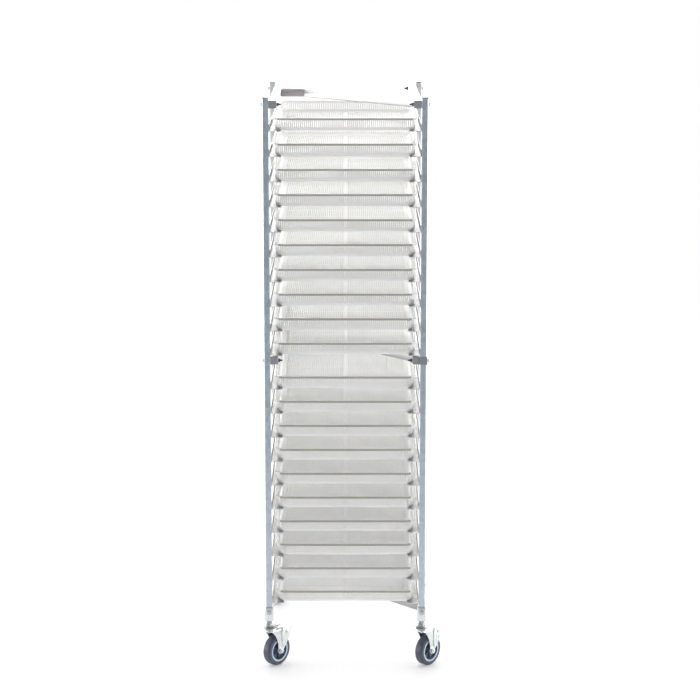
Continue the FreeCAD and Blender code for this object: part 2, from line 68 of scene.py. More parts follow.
# Sizes in millimetres
TUBE_WALL = 1.5
TUBE_CORNER = 2.4
BRACE_RUN = 505.0
SHEET = 1.5
WHEEL_R = 51.0
HUB_R = 37.5
LEG_R = 11.0
FORK_HALF = 20.0
FORK_SHEET = 3.0
CROWN_TOP = 128.0
BRAKE_PIN = (60.0, 112.0)
MESH_PITCH = 6.35
TRAY_TAPER = 3.0
TRAY_FOOT_R = 14.0
TRAY_LIP = 6.0
TRAY_COUNT = 20
MOUTH_R = 28.0
WALL_SHEET = 2.5
SLOT_TOP = 33.0
RIB_WIDTH = 3.5
RIB_DEPTH = 2.0
FLOOR_FRAME = -26.0
RUNNER_GAP = 0.3
RUNNER_LEG = 22.0
GUSSET_WIDTH = 77.0
GUSSET_SHEET = 2.0
CLAMP_WALL = 3.0
SOCKET_SIDE = 28.0
SOCKET_BOLT_Z = 190.0
STEM_FLANGE_Z = 120.7
STEM_THREAD_Z = 124.0
RACE_Z = 133.3
RACE_WASHER_Z = 136.3
TYRE_HALF = 15.0
TYRE_SHOULDER = 7.0
BRAKE_SHEET = 2.5
BRAKE_TIP = (48, 70)

# Camera, from the middle of the posts, in metres and degrees
CAMERA_PLACE = Vector((0.015, -7.0, 2.415))
CAMERA_PITCH = 11.45
CAMERA_LENS = 109.85


def make_camera():
    data = bpy.data.cameras.new("studio_camera")
    data.lens = CAMERA_LENS
    data.sensor_width = 36.0
    data.clip_start = 0.1
    data.clip_end = 200.0
    camera = bpy.data.objects.new("studio_camera", data)
    camera.location = MIDDLE + CAMERA_PLACE
    camera.rotation_euler = (math.radians(90 - CAMERA_PITCH), 0, 0)
    bpy.context.scene.collection.objects.link(camera)
    bpy.context.scene.camera = camera


make_camera()

# ---------------------------------------------------------------- shader groups


def new_group(name, inputs, outputs):
    """Shader group with float or vector inputs, given as (name, kind, value), and named outputs."""
    group = bpy.data.node_groups.new(name, "ShaderNodeTree")
    for label, kind, value in inputs:
        socket = group.interface.new_socket(label, in_out="INPUT", socket_type=kind)
        if value is not None:
            socket.default_value = value
    for label in outputs:
        group.interface.new_socket(label, in_out="OUTPUT", socket_type="NodeSocketFloat")
    entry = group.nodes.new("NodeGroupInput")
    exit_node = group.nodes.new("NodeGroupOutput")
    return group, entry, exit_node


def add_node(tree, kind, links=None, **settings):
    """Node with its settings, and its inputs joined to sockets or set to values."""
    node = tree.nodes.new(kind)
    for key, value in settings.items():
        setattr(node, key, value)
    for key, source in (links or {}).items():
        if isinstance(source, bpy.types.NodeSocket):
            tree.links.new(source, node.inputs[key])
        else:
            node.inputs[key].default_value = source
    return node


def spangle_group():
    """Crystal flowers of a zinc coat: a grey tone for each crystal, softened by a cloud."""
    group, entry, exit_node = new_group(
        "zinc_spangle",
        [("Vector", "NodeSocketVector", None), ("Scale", "NodeSocketFloat", 120.0)],
        ["Tone"],
    )
    vector = entry.outputs["Vector"]
    warp = add_node(group, "ShaderNodeTexNoise", {"Vector": vector, "Scale": 60.0, "Detail": 2.0})
    warped = add_node(
        group, "ShaderNodeMix", {0: 0.02, 4: vector, 5: warp.outputs["Color"]}, data_type="VECTOR"
    )
    crystals = add_node(
        group,
        "ShaderNodeTexVoronoi",
        {"Vector": warped.outputs[1], "Scale": entry.outputs["Scale"]},
        feature="F1",
    )
    tone = add_node(group, "ShaderNodeSeparateColor", {0: crystals.outputs["Color"]})
    cloud = add_node(group, "ShaderNodeTexNoise", {"Vector": vector, "Scale": 14.0, "Detail": 4.0})
    mixed = add_node(group, "ShaderNodeMix", {0: 0.35, 2: tone.outputs[0], 3: cloud.outputs[0]})
    group.links.new(mixed.outputs[0], exit_node.inputs["Tone"])
    return group


def streak_group():
    """Long thin marks left by rolling or wiping; Stretch says how much finer each axis is."""
    group, entry, exit_node = new_group(
        "drawn_streaks",
        [("Vector", "NodeSocketVector", None), ("Stretch", "NodeSocketVector", None)],
        ["Height"],
    )
    stretched = add_node(
        group,
        "ShaderNodeVectorMath",
        {0: entry.outputs["Vector"], 1: entry.outputs["Stretch"]},
        operation="MULTIPLY",
    )
    noise = add_node(
        group, "ShaderNodeTexNoise", {"Vector": stretched.outputs[0], "Scale": 1.0, "Detail": 5.0}
    )
    group.links.new(noise.outputs[0], exit_node.inputs["Height"])
    return group


def grain_group():
    """Fine even texture of moulded plastic or rubber, with a slower cloud for handling marks."""
    group, entry, exit_node = new_group(
        "moulded_grain",
        [("Vector", "NodeSocketVector", None), ("Scale", "NodeSocketFloat", 900.0)],
        ["Height", "Cloud"],
    )
    vector = entry.outputs["Vector"]
    fine = add_node(
        group,
        "ShaderNodeTexNoise",
        {"Vector": vector, "Scale": entry.outputs["Scale"], "Detail": 3.0},
    )
    cloud = add_node(group, "ShaderNodeTexNoise", {"Vector": vector, "Scale": 9.0, "Detail": 5.0})
    group.links.new(fine.outputs[0], exit_node.inputs["Height"])
    group.links.new(cloud.outputs[0], exit_node.inputs["Cloud"])
    return group


def edge_group():
    """Where a surface turns sharply: 0 on the flat, 1 on a worn edge."""
    group, entry, exit_node = new_group(
        "rubbed_edges", [("Radius", "NodeSocketFloat", 0.001)], ["Mask"]
    )
    rounded = add_node(group, "ShaderNodeBevel", {"Radius": entry.outputs["Radius"]}, samples=4)
    flat = add_node(group, "ShaderNodeNewGeometry")
    match = add_node(
        group,
        "ShaderNodeVectorMath",
        {0: rounded.outputs[0], 1: flat.outputs["Normal"]},
        operation="DOT_PRODUCT",
    )
    mask = add_node(
        group,
        "ShaderNodeMapRange",
        {"Value": match.outputs["Value"], 1: 0.985, 2: 0.86, 3: 0.0, 4: 1.0},
    )
    group.links.new(mask.outputs[0], exit_node.inputs["Mask"])
    return group


SPANGLE = spangle_group()
STREAKS = streak_group()
GRAIN = grain_group()
EDGES = edge_group()


def add_group(tree, group, links):
    return add_node(tree, "ShaderNodeGroup", links, node_tree=group)


def new_material(name):
    material = bpy.data.materials.new(name)
    material.use_nodes = True
    tree = material.node_tree
    shader = tree.nodes["Principled BSDF"]
    where = tree.nodes.new("ShaderNodeTexCoord").outputs["Object"]
    return material, tree, shader, where


def mix_colour(tree, factor, first, second):
    node = add_node(tree, "ShaderNodeMix", {0: factor, 6: first, 7: second}, data_type="RGBA")
    return node.outputs[2]


def spread(tree, value, low, high, from_low=0.0, from_high=1.0):
    links = {"Value": value, 1: from_low, 2: from_high, 3: low, 4: high}
    return add_node(tree, "ShaderNodeMapRange", links).outputs[0]


def shade(colour, factor):
    return tuple(min(1.0, channel * factor) for channel in colour[:3]) + (1.0,)


def zinc(name, colour, crystal, contrast, rough, stretch=(900, 900, 12), wear=0.0, shine=1.0):
    """Zinc-coated steel: crystals, drawn streaks and rubbed bright edges; shine falls with age."""
    material, tree, shader, where = new_material(name)
    tone = add_group(tree, SPANGLE, {"Vector": where, "Scale": crystal}).outputs["Tone"]
    streak = add_group(tree, STREAKS, {"Vector": where, "Stretch": stretch}).outputs["Height"]
    base = mix_colour(tree, tone, shade(colour, 1 - contrast), shade(colour, 1 + contrast))
    marks = spread(tree, streak, 0.0, 0.3, 0.45, 0.75)
    streaked = mix_colour(tree, marks, base, shade(colour, 0.7))
    surface = streaked
    if wear:
        mask = add_group(tree, EDGES, {"Radius": 0.0008}).outputs["Mask"]
        surface = mix_colour(tree, spread(tree, mask, 0.0, wear), streaked, shade(colour, 1.35))
    tree.links.new(surface, shader.inputs["Base Color"])
    tree.links.new(spread(tree, tone, rough[0], rough[1]), shader.inputs["Roughness"])
    shader.inputs["Metallic"].default_value = shine
    relief = {"Height": streak, "Strength": 0.12, "Distance": 0.0002}
    bump = add_node(tree, "ShaderNodeBump", relief)
    tree.links.new(bump.outputs[0], shader.inputs["Normal"])
    return material


def plastic(name, colour, rough=(0.38, 0.52), grain=900.0, depth=0.0001, contrast=0.05, soft=0.0):
    """Moulded plastic: fine grain, slow clouds of handling and a little scuffing."""
    material, tree, shader, where = new_material(name)
    grains = add_group(tree, GRAIN, {"Vector": where, "Scale": grain})
    cloud = grains.outputs["Cloud"]
    base = mix_colour(tree, cloud, shade(colour, 1 - contrast), shade(colour, 1 + contrast))
    tree.links.new(base, shader.inputs["Base Color"])
    tree.links.new(spread(tree, cloud, rough[0], rough[1], 0.35, 0.65), shader.inputs["Roughness"])
    if soft:
        shader.inputs["Subsurface Weight"].default_value = soft
        shader.inputs["Subsurface Radius"].default_value = (0.012, 0.011, 0.010)
    height = grains.outputs["Height"]
    bump = add_node(tree, "ShaderNodeBump", {"Height": height, "Strength": 0.25, "Distance": depth})
    tree.links.new(bump.outputs[0], shader.inputs["Normal"])
    return material


def rubber(name, colour):
    """Tread rubber: dull, with dusty patches and a faint grain."""
    material, tree, shader, where = new_material(name)
    grains = add_group(tree, GRAIN, {"Vector": where, "Scale": 700.0})
    dust = spread(tree, grains.outputs["Cloud"], 0.0, 0.25, 0.48, 0.7)
    surface = mix_colour(tree, dust, shade(colour, 1.0), shade(colour, 2.2))
    tree.links.new(surface, shader.inputs["Base Color"])
    rough = spread(tree, grains.outputs["Cloud"], 0.34, 0.5, 0.4, 0.65)
    tree.links.new(rough, shader.inputs["Roughness"])
    height = grains.outputs["Height"]
    bump = add_node(tree, "ShaderNodeBump", {"Height": height, "Strength": 0.3, "Distance": 0.0002})
    tree.links.new(bump.outputs[0], shader.inputs["Normal"])
    return material


POST_ZINC = zinc("post_zinc", (0.55, 0.62, 0.69), 90.0, 0.12, (0.34, 0.5))
# Rear posts: a paler, rougher, less metallic copy of the post zinc; painted light standing in for
# the bright light from behind on the rear posts.
LIT_REAR_POST_ZINC = zinc("rear_post_painted_light_zinc", (0.78, 0.79, 0.80), 90.0, 0.04, (0.6, 0.72), shine=0.3)
RAIL_ZINC = zinc("rail_zinc", (0.72, 0.72, 0.72), 90.0, 0.06, (0.36, 0.5), (900, 12, 900))
BRACE_ZINC = zinc("brace_zinc", (0.46, 0.45, 0.455), 90.0, 0.04, (0.3, 0.4), (500, 500, 900),
                  shine=0.6)
GUSSET_ZINC = zinc("gusset_zinc", (0.50, 0.48, 0.48), 60.0, 0.06, (0.36, 0.5), (12, 200, 700),
                   shine=0.8)
RUNNER_ZINC = zinc("runner_zinc", (0.80, 0.80, 0.80), 110.0, 0.08, (0.3, 0.42), (900, 12, 900))
CASTER_ZINC = zinc("caster_zinc", (0.76, 0.79, 0.79), 40.0, 0.04, (0.2, 0.34), (300, 300, 300), 0.5)
SOCKET_ZINC = zinc("socket_zinc", (0.76, 0.78, 0.80), 60.0, 0.05, (0.26, 0.4), (500, 500, 60), 0.5)
STEM_ZINC = zinc("stem_zinc", (0.38, 0.39, 0.39), 60.0, 0.1, (0.25, 0.4), (400, 400, 900), 0.4)
BOLT_ZINC = zinc("bolt_zinc", (0.50, 0.52, 0.55), 60.0, 0.08, (0.24, 0.36), (400, 400, 400), 0.6)
DARK_STEEL = zinc("dark_nut_steel", (0.10, 0.11, 0.12), 60.0, 0.08, (0.3, 0.45),
                  (400, 400, 400), 0.5)
CAP_PLASTIC = plastic("cap_plastic", (0.30, 0.31, 0.335), (0.4, 0.55), 800.0)
CLAMP_PLASTIC = plastic("clamp_plastic", (0.26, 0.27, 0.295), (0.35, 0.5), 800.0)
TRAY_PLASTIC = plastic("tray_plastic", (0.95, 0.945, 0.93), (0.36, 0.5), 1200.0, 0.00006, 0.02, 0.8)
# Lip: a darker beige copy of the tray plastic; painted shade on the thick lip, which lets less
# light through than the thin walls.
SHADED_LIP_PLASTIC = plastic("tray_lip_painted_shade", (0.46, 0.435, 0.395), (0.34, 0.48), 1200.0, 0.00006, 0.04)
HUB_PLASTIC = plastic("hub_plastic", (0.50, 0.60, 0.70), (0.25, 0.38), 900.0)
# Dish: a dark blue-grey colour for the hub's dished web and ribs; painted shade of the recess.
SHADED_DISH_PLASTIC = plastic("hub_dish_painted_shade", (0.09, 0.12, 0.17), (0.3, 0.45), 900.0)
TYRE_RUBBER = rubber("tyre_rubber", (0.060, 0.064, 0.100))

# ---------------------------------------------------------------- shapes


def join(target, piece, place=Matrix()):
    """Add a shape to a bigger one at a place, and free it."""
    carrier = bpy.data.meshes.new("carrier")
    piece.transform(place)
    piece.to_mesh(carrier)
    piece.free()
    target.from_mesh(carrier)
    bpy.data.meshes.remove(carrier)


def sharp_edges(bm, angle=35):
    limit = math.radians(angle)
    return [e for e in bm.edges if len(e.link_faces) == 2 and e.calc_face_angle(0) > limit]


def soften(bm, width, segments=2, edges=None):
    """Round the given edges, or every sharp one."""
    chosen = sharp_edges(bm) if edges is None else edges
    bmesh.ops.bevel(
        bm, geom=chosen, offset=width, segments=segments, profile=0.5, affect="EDGES", material=-1
    )
    return bm


def sweep(bm, face, rise):
    """Turn a lone face into a solid by sweeping it along rise."""
    lifted = bmesh.ops.extrude_face_region(bm, geom=[face])["geom"]
    moved = [item for item in lifted if isinstance(item, bmesh.types.BMVert)]
    bmesh.ops.translate(bm, vec=rise, verts=moved)
    bmesh.ops.recalc_face_normals(bm, faces=bm.faces)
    return bm


def plate(points, rise, rounding=None):
    """Solid with a flat outline; rounding maps a corner's place in the outline to its radius."""
    bm = bmesh.new()
    corners = [bm.verts.new(point) for point in points]
    bm.faces.new(corners)
    for radius in sorted(set((rounding or {}).values())):
        chosen = [corners[index] for index, value in rounding.items() if value == radius]
        bmesh.ops.bevel(
            bm, geom=chosen, offset=radius, segments=4, profile=0.5, affect="VERTICES", material=-1
        )
    return sweep(bm, bm.faces[:][0], rise)


def box_between(low, high):
    centre = (Vector(low) + Vector(high)) / 2
    size = Vector(high) - Vector(low)
    bm = bmesh.new()
    bmesh.ops.create_cube(bm, size=1.0)
    bmesh.ops.scale(bm, vec=size, verts=bm.verts)
    bmesh.ops.translate(bm, vec=centre, verts=bm.verts)
    return bm


def round_face(bm, width, depth, radius, steps=4, height=0.0):
    """Face of a rectangle with round corners, centred on the Z axis."""
    places = [(1, 1), (-1, 1), (-1, -1), (1, -1)]
    corners = [bm.verts.new((sx * width / 2, sy * depth / 2, height)) for sx, sy in places]
    before = set(bm.faces)
    bm.faces.new(corners)
    bmesh.ops.bevel(
        bm, geom=corners, offset=radius, segments=steps, profile=0.5, affect="VERTICES", material=-1
    )
    return next(face for face in bm.faces if face not in before)


def tube(side, length, wall=TUBE_WALL, corner=TUBE_CORNER):
    """Square tube with round corners along +Z from the origin."""
    bm = bmesh.new()
    face = round_face(bm, side, side, corner)
    bmesh.ops.inset_region(
        bm, faces=[face], thickness=wall, use_boundary=True, use_even_offset=True
    )
    bmesh.ops.delete(bm, geom=[face], context="FACES_ONLY")
    lifted = bmesh.ops.extrude_face_region(bm, geom=bm.faces[:])["geom"]
    moved = [item for item in lifted if isinstance(item, bmesh.types.BMVert)]
    bmesh.ops.translate(bm, vec=Z * length, verts=moved)
    bmesh.ops.recalc_face_normals(bm, faces=bm.faces)
    return bm


def lathe(profile, steps=24, closed=False):
    """Turn a profile of (radius, height) points about Z."""
    bm = bmesh.new()
    verts = [bm.verts.new((radius, 0, height)) for radius, height in profile]
    edges = [bm.edges.new(pair) for pair in zip(verts, verts[1:])]
    if closed:
        edges.append(bm.edges.new((verts[-1], verts[0])))
    bmesh.ops.spin(
        bm, geom=verts + edges, cent=(0, 0, 0), axis=(0, 0, 1), angle=2 * math.pi, steps=steps,
        use_merge=True,
    )
    bmesh.ops.remove_doubles(bm, verts=bm.verts, dist=0.0001)
    bmesh.ops.recalc_face_normals(bm, faces=bm.faces)
    return bm


def disc(radius, height, edge=0.5, steps=24, bore=0.0):
    """Round disc on z = 0 with softened rims, and a bore if one is given."""
    rim = [(radius - edge, 0), (radius, edge), (radius, height - edge), (radius - edge, height)]
    if bore:
        return lathe([(bore, 0)] + rim + [(bore, height)], steps, closed=True)
    return lathe([(0, 0)] + rim + [(0, height)], steps)


def hexagon(flats, height, chamfer=0.8):
    """Bolt head or nut on z = 0, its outer corners chamfered."""
    reach = flats / math.sqrt(3)
    turns = [math.radians(60 * corner) for corner in range(6)]
    bm = plate([Vector((math.cos(t), math.sin(t), 0)) * reach for t in turns], Z * height)
    rim = [e for e in bm.edges if all(v.co.z > height - 0.01 for v in e.verts)]
    return soften(bm, chamfer, 2, rim)


def thread(radius, length, pitch=1.25):
    """Threaded end on z = 0: ridges one pitch apart, chamfered at the tip."""
    profile = [(0, 0)]
    for turn in range(int(length / pitch) - 1):
        profile.append((radius, turn * pitch))
        profile.append((radius * 0.84, (turn + 0.5) * pitch))
    profile += [(radius * 0.8, length), (0, length)]
    return lathe(profile, 14)


def along(start, direction):
    """Placement that takes a shape made up +Z from the origin to start, facing direction."""
    turn = Vector(direction).to_track_quat("Z", "Y").to_matrix().to_4x4()
    return Matrix.Translation(start) @ turn


def bar(bm, start, end, side, width, thick):
    """Square bar from start to end, its width lying along side."""
    run = end - start
    face = run.cross(side).normalized() * thick
    basis = Matrix((side.normalized() * width, face, run)).transposed().to_4x4()
    basis.translation = (start + end) / 2
    bmesh.ops.create_cube(bm, size=1.0, matrix=basis)


def finish_piece(name, bm, body, material, replaces=(), place=Matrix(), second=None):
    """Put a shape in the frame as a piece that rides on a body and stands for CAD nodes."""
    bm.transform(TO_FRAME @ place)
    mesh = bpy.data.meshes.new(name)
    bm.to_mesh(mesh)
    bm.free()
    mesh.shade_smooth()
    mesh.set_sharp_from_angle(angle=math.radians(38))
    mesh.materials.append(material)
    if second:
        mesh.materials.append(second)
    piece = bpy.data.objects.new(name, mesh)
    bpy.context.scene.collection.objects.link(piece)
    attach(piece, body)
    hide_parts(*replaces)
    return piece


def stock(node):
    """Lowest and highest corner of a CAD node, in millimetres about the middle of the posts."""
    low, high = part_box(node)
    return (low - MIDDLE) * 1000, (high - MIDDLE) * 1000


# ---------------------------------------------------------------- frame


def make_posts():
    for end in ENDS:
        for side in SIDES:
            node = f"{end}_{side}_post"
            low, high = stock(node)
            post = tube(high.x - low.x, high.z - low.z)
            foot = Vector(((low.x + high.x) / 2, (low.y + high.y) / 2, low.z))
            # The rear posts take the paler copy of the post zinc: painted light, not a different
            # coat.
            coat = POST_ZINC if end == "front" else LIT_REAR_POST_ZINC
            finish_piece(f"{end}_{side}_post_tube", post, "frame", coat, [node],
                         Matrix.Translation(foot))


def make_rails():
    for level in LEVELS:
        for side in SIDES:
            node = f"{level}_{side}_rail"
            low, high = stock(node)
            rail = tube(high.x - low.x, high.y - low.y)
            front = Vector(((low.x + high.x) / 2, low.y, (low.z + high.z) / 2))
            finish_piece(f"{level}_{side}_rail_tube", rail, "frame", RAIL_ZINC,
                         [node], along(front, Y))


def brace_line(level):
    """Middle of a brace, its direction seen from above, and its tube's side."""
    low, high = stock(f"{level}_brace")
    middle = (low + high) / 2
    direction = Vector((high.x - low.x, -BRACE_RUN, 0)).normalized()
    return middle, direction, high.z - low.z


def make_braces():
    for level in LEVELS:
        low, high = stock(f"{level}_brace")
        middle, direction, side = brace_line(level)
        reach = high.y - low.y
        brace = bmesh.new()
        face = round_face(brace, side, side, TUBE_CORNER)
        sweep(brace, face, Z * 2 * reach)
        brace.transform(along(middle - direction * reach, direction))
        for limit, outward in ((low.x, -1), (high.x, 1)):
            cut = bmesh.ops.bisect_plane(
                brace, geom=brace.verts[:] + brace.edges[:] + brace.faces[:],
                plane_co=(limit, 0, 0), plane_no=(outward, 0, 0), clear_outer=True,
            )
            open_edges = [e for e in cut["geom_cut"] if isinstance(e, bmesh.types.BMEdge)]
            bmesh.ops.contextual_create(brace, geom=open_edges)
        bmesh.ops.recalc_face_normals(brace, faces=brace.faces)
        finish_piece(f"{level}_brace_tube", brace, "frame", BRACE_ZINC,
                     [f"{level}_brace"])


def gusset(level, side):
    """Folded triangular box between the brace's face and a side rail, open towards the brace."""
    low, high = stock(f"{level}_brace")
    middle, direction, tall = brace_line(level)
    slope = direction.y / direction.x
    stretch = math.hypot(1, slope) * tall / 2
    reach = (high.x - low.x) / 2
    rail_x = middle.x + side * reach
    meet_y = middle.y + side * (reach * slope + stretch)
    square_y = meet_y - side * GUSSET_WIDTH * slope
    corner = Vector((rail_x, meet_y, low.z))
    square = Vector((rail_x, square_y, low.z))
    point = Vector((rail_x - side * GUSSET_WIDTH, square_y, low.z))
    bm = plate([corner, square, point], Z * tall)
    toward_brace = Vector((-direction.y, direction.x, 0)) * -side
    facing = max(bm.faces, key=lambda face: face.normal.dot(toward_brace))
    bmesh.ops.delete(bm, geom=[facing], context="FACES_ONLY")
    soften(bm, 3.0, 3)
    bmesh.ops.solidify(bm, geom=bm.faces[:], thickness=GUSSET_SHEET)
    bmesh.ops.recalc_face_normals(bm, faces=bm.faces)
    return bm


def make_gussets():
    whole = bmesh.new()
    for level in LEVELS:
        for side in SIDES.values():
            join(whole, gusset(level, side))
    finish_piece("brace_gusset_boxes", whole, "frame", GUSSET_ZINC, ["brace_gussets"])


def end_plug(side):
    """Moulded tube plug on z = 0: a pillowed plate over the tube's end."""
    bm = bmesh.new()
    sweep(bm, round_face(bm, side, side, TUBE_CORNER), Z * 2.5)
    rim = [e for e in bm.edges if all(v.co.z > 2.4 for v in e.verts)]
    soften(bm, 1.0, 3, rim)
    skirt = bmesh.new()
    inside = side - 2.5 * TUBE_WALL
    sweep(skirt, round_face(skirt, inside, inside, 1.0), Z * -12)
    join(bm, skirt)
    return bm


def make_plugs():
    whole = bmesh.new()
    for end_name, end in ENDS.items():
        for side in SIDES:
            low, high = stock(f"{end_name}_{side}_post")
            top = Vector(((low.x + high.x) / 2, (low.y + high.y) / 2, high.z))
            join(whole, end_plug(high.x - low.x), along(top, Z))
    for level in BOLTED_LEVELS:
        for side in SIDES:
            low, high = stock(f"{level}_{side}_rail")
            for end in ENDS.values():
                mouth_y = high.y if end > 0 else low.y
                mouth = Vector(((low.x + high.x) / 2, mouth_y, (low.z + high.z) / 2))
                join(whole, end_plug(high.x - low.x - 2), along(mouth, Y * end))
    finish_piece("tube_end_plugs", whole, "frame", CAP_PLASTIC, ["tube_end_caps"])


def make_runners():
    for side_name, side in SIDES.items():
        low, high = stock(f"{side_name}_runners")
        wall = high.x if side > 0 else low.x
        shelf = low.x if side > 0 else high.x
        whole = bmesh.new()
        for index in range(TRAY_COUNT):
            tray_low = stock(f"tray_{index + 1:02d}")[0]
            top = tray_low.z - RUNNER_GAP
            outline = [
                (wall, low.y, top + RUNNER_LEG), (wall, low.y, top - SHEET),
                (shelf, low.y, top - SHEET),
                (shelf, low.y, top), (wall - side * SHEET, low.y, top),
                (wall - side * SHEET, low.y, top + RUNNER_LEG),
            ]
            rounding = {1: 2.0, 4: 0.7, 0: 0.3, 2: 0.3, 3: 0.3, 5: 0.3}
            join(whole, plate(outline, Y * (high.y - low.y), rounding))
        finish_piece(f"{side_name}_runner_angles", whole, "frame", RUNNER_ZINC,
                     [f"{side_name}_runners"])


def make_rivets():
    whole = bmesh.new()
    dome = [(0, 1.7), (1.6, 1.55), (2.9, 1.0), (3.8, 0.1), (3.8, -0.2), (2.0, -0.2), (2.0, -4.6),
            (0, -4.6)]
    for side_name, side in SIDES.items():
        for end_name in ENDS:
            low, high = stock(f"{end_name}_{side_name}_post")
            face = high.x if side < 0 else low.x
            for index in range(TRAY_COUNT):
                shelf = stock(f"tray_{index + 1:02d}")[0].z - RUNNER_GAP
                seat = Vector((face - side * SHEET, (low.y + high.y) / 2, shelf + RUNNER_LEG / 2))
                join(whole, lathe(dome, 12), along(seat, X * -side))
    finish_piece("runner_rivet_heads", whole, "frame", BOLT_ZINC,
                 ["runner_rivets"])


def make_rail_bolts():
    """Head and washer outside each post; washer, nut and threaded tail inside each rail."""
    whole = bmesh.new()
    for end_name in ENDS:
        for side_name, side in SIDES.items():
            low, high = stock(f"{end_name}_{side_name}_post")
            for level in BOLTED_LEVELS:
                rail_low, rail_high = stock(f"{level}_{side_name}_rail")
                outside = high.x if side > 0 else -low.x
                height = (rail_low.z + rail_high.z) / 2
                if (end_name, side_name, level) == ("front", "right", "middle"):
                    outside += CLAMP_WALL
                inside = rail_low.x if side > 0 else -rail_high.x
                out = X * side
                line = Vector((0, (low.y + high.y) / 2, height))
                join(whole, disc(6.2, 1.2, 0.3, 28), along(line + out * outside, out))
                join(whole, hexagon(10, 4), along(line + out * (outside + 1.2), out))
                join(whole, disc(6.2, 1.2, 0.3, 28), along(line + out * inside, -out))
                join(whole, hexagon(10, 5), along(line + out * (inside - 1.2), -out))
                join(whole, thread(3, 12, 1.0), along(line + out * (inside - 1.2), -out))
    post_inner = stock("rear_right_post")[0].x
    for face in whole.faces:
        face.material_index = 1 if abs(face.calc_center_median().x) < post_inner else 0
    finish_piece("rail_bolt_sets", whole, "frame", BOLT_ZINC, ["rail_bolts"],
                 second=DARK_STEEL)


def make_clamp():
    low, high = stock("post_clamp")
    t = CLAMP_WALL
    outline = [
        (low.x, low.y, low.z), (high.x, low.y, low.z), (high.x, high.y, low.z),
        (low.x, high.y, low.z),
        (low.x, high.y - t, low.z), (high.x - t, high.y - t, low.z), (high.x - t, low.y + t, low.z),
        (low.x, low.y + t, low.z),
    ]
    saddle = plate(outline, Z * (high.z - low.z), {1: 3.0, 2: 3.0, 5: 0.8, 6: 0.8})
    soften(saddle, 0.5, 2)
    finish_piece("post_clamp_saddle", saddle, "frame", CLAMP_PLASTIC,
                 ["post_clamp"])


def make_sockets():
    low, high = stock("caster_sockets")
    sleeves = bmesh.new()
    bolts = bmesh.new()
    for end_name, end in ENDS.items():
        for side in SIDES:
            post_low, post_high = stock(f"{end_name}_{side}_post")
            stem = Vector(((post_low.x + post_high.x) / 2, (post_low.y + post_high.y) / 2, low.z))
            sleeve = tube(SOCKET_SIDE, high.z - low.z, 4.0, 3.4)
            soften(sleeve, 0.7, 2, sharp_edges(sleeve, 60))
            floor = disc(13, 5, 0.4, 28)
            join(sleeve, floor)
            join(sleeves, sleeve, Matrix.Translation(stem))
            out = Y * end
            seat = Vector((stem.x, stem.y, SOCKET_BOLT_Z)) + out * SOCKET_SIDE / 2
            join(bolts, disc(8.6, 1.0, 0.3, 32), along(seat, out))
            join(bolts, hexagon(13, 4.3, 1.0), along(seat + out, out))
            join(bolts, thread(4, 14, 1.25), along(seat, -out))
            join(bolts, hexagon(13, 6.5, 1.0), along(seat - out * 5.5, -out))
    finish_piece("caster_socket_sleeves", sleeves, "frame", SOCKET_ZINC,
                 ["caster_sockets"])
    finish_piece("socket_bolt_sets", bolts, "frame", BOLT_ZINC, ["socket_bolts"])


# ---------------------------------------------------------------- casters


def joint(name):
    return next(j for j in frame["joints"] if j["name"] == name)


def caster_place(name):
    """Placement of a caster made with its stem on Z and its wheel behind it along +X."""
    stem = (Vector(joint(f"{name}_swivel")["pos_m"]) - MIDDLE) * 1000
    axle = joint(f"{name}_wheel_spin")["axis"]
    heading = math.atan2(-axle[0], axle[1])
    return Matrix.Translation((stem.x, stem.y, 0)) @ Matrix.Rotation(heading, 4, "Z")


def axle_centre(name):
    """The axle's place behind the stem and above the floor, in the caster's own frame."""
    hub = (Vector(joint(f"{name}_wheel_spin")["pos_m"]) - MIDDLE) * 1000
    return caster_place(name).inverted() @ hub


def three_point_arc(first, middle, last, steps):
    """Points of the circle through three points, from the first to the last."""
    (ax, az), (bx, bz), (cx, cz) = first, middle, last
    d = 2 * (ax * (bz - cz) + bx * (cz - az) + cx * (az - bz))
    a2, b2, c2 = ax * ax + az * az, bx * bx + bz * bz, cx * cx + cz * cz
    ux = (a2 * (bz - cz) + b2 * (cz - az) + c2 * (az - bz)) / d
    uz = (a2 * (cx - bx) + b2 * (ax - cx) + c2 * (bx - ax)) / d
    radius = math.hypot(ax - ux, az - uz)
    start = math.atan2(az - uz, ax - ux)
    mid = (math.atan2(bz - uz, bx - ux) - start) % (2 * math.pi)
    turn = (math.atan2(cz - uz, cx - ux) - start) % (2 * math.pi)
    if mid > turn:
        turn -= 2 * math.pi
    angles = [start + turn * step / steps for step in range(steps + 1)]
    return [(ux + radius * math.cos(a), uz + radius * math.sin(a)) for a in angles]


def leg_outline(axle):
    """Fork leg in the wheel's plane, from the crown's nose down, round the eye and up the back."""
    eye_front = (axle.x - LEG_R, axle.z)
    eye_back = (axle.x + LEG_R, axle.z)
    heel = (BRAKE_PIN[0] + 8, BRAKE_PIN[1] - 8)
    points = three_point_arc((-14, CROWN_TOP), (16, 92), eye_front, 12)
    points += three_point_arc(eye_front, (axle.x, axle.z - LEG_R), eye_back, 14)[1:]
    points += three_point_arc(eye_back, (62, 78), heel, 8)[1:]
    points.append((BRAKE_PIN[0] - 6, CROWN_TOP))
    return points


